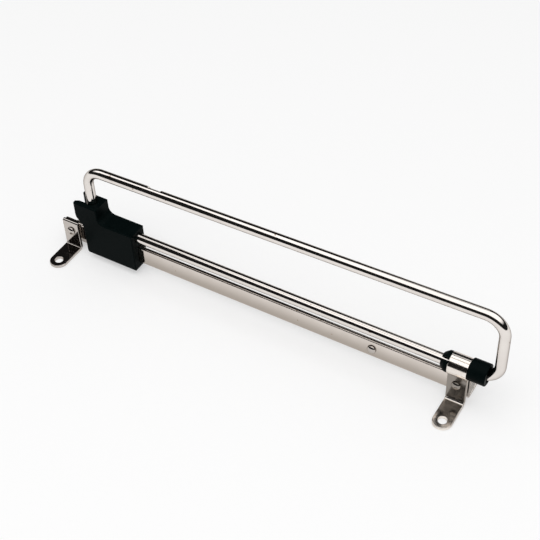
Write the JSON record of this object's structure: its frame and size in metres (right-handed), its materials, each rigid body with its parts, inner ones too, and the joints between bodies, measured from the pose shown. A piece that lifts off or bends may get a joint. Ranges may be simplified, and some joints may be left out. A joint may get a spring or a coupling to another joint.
{
  "type": "pull-out clothes rail",
  "caption": "Pull-out wardrobe valet rail: a plated rod loop that slides through a plastic bush and along a flat bar on screw-down strip brackets.",
  "frame": {"origin": "middle of the closed rail's footprint, on the mounting plane under the feet", "axes": "+X along the rail in the pull direction, +Y across it away from the viewer, +Z from the mounting plane toward the hanging rod"},
  "size_m": [0.3296, 0.056, 0.0854],
  "materials": {
    "nickel_strip": "nickel-plated steel strip, softly polished",
    "nickel_rod": "nickel-plated steel rod, bright",
    "black_plastic": "black moulded plastic, fine satin"
  },
  "bodies": {
    "fixed_rail": {"carrier_bar": "nickel_strip", "rear_bracket_near": "nickel_strip", "rear_bracket_far": "nickel_strip", "rear_rivet": "nickel_strip", "front_saddle_bracket": "nickel_strip", "front_rivet": "nickel_strip", "stop_rivet": "nickel_strip", "guide_bush": "black_plastic"},
    "sliding_loop": {"rod_loop": "nickel_rod", "slide_block": "black_plastic"}
  },
  "joints": [
    {"name": "loop_slide", "type": "slide", "parent": "fixed_rail", "child": "sliding_loop", "axis": [1, 0, 0], "range_m": [0, 0.176]}
  ]
}
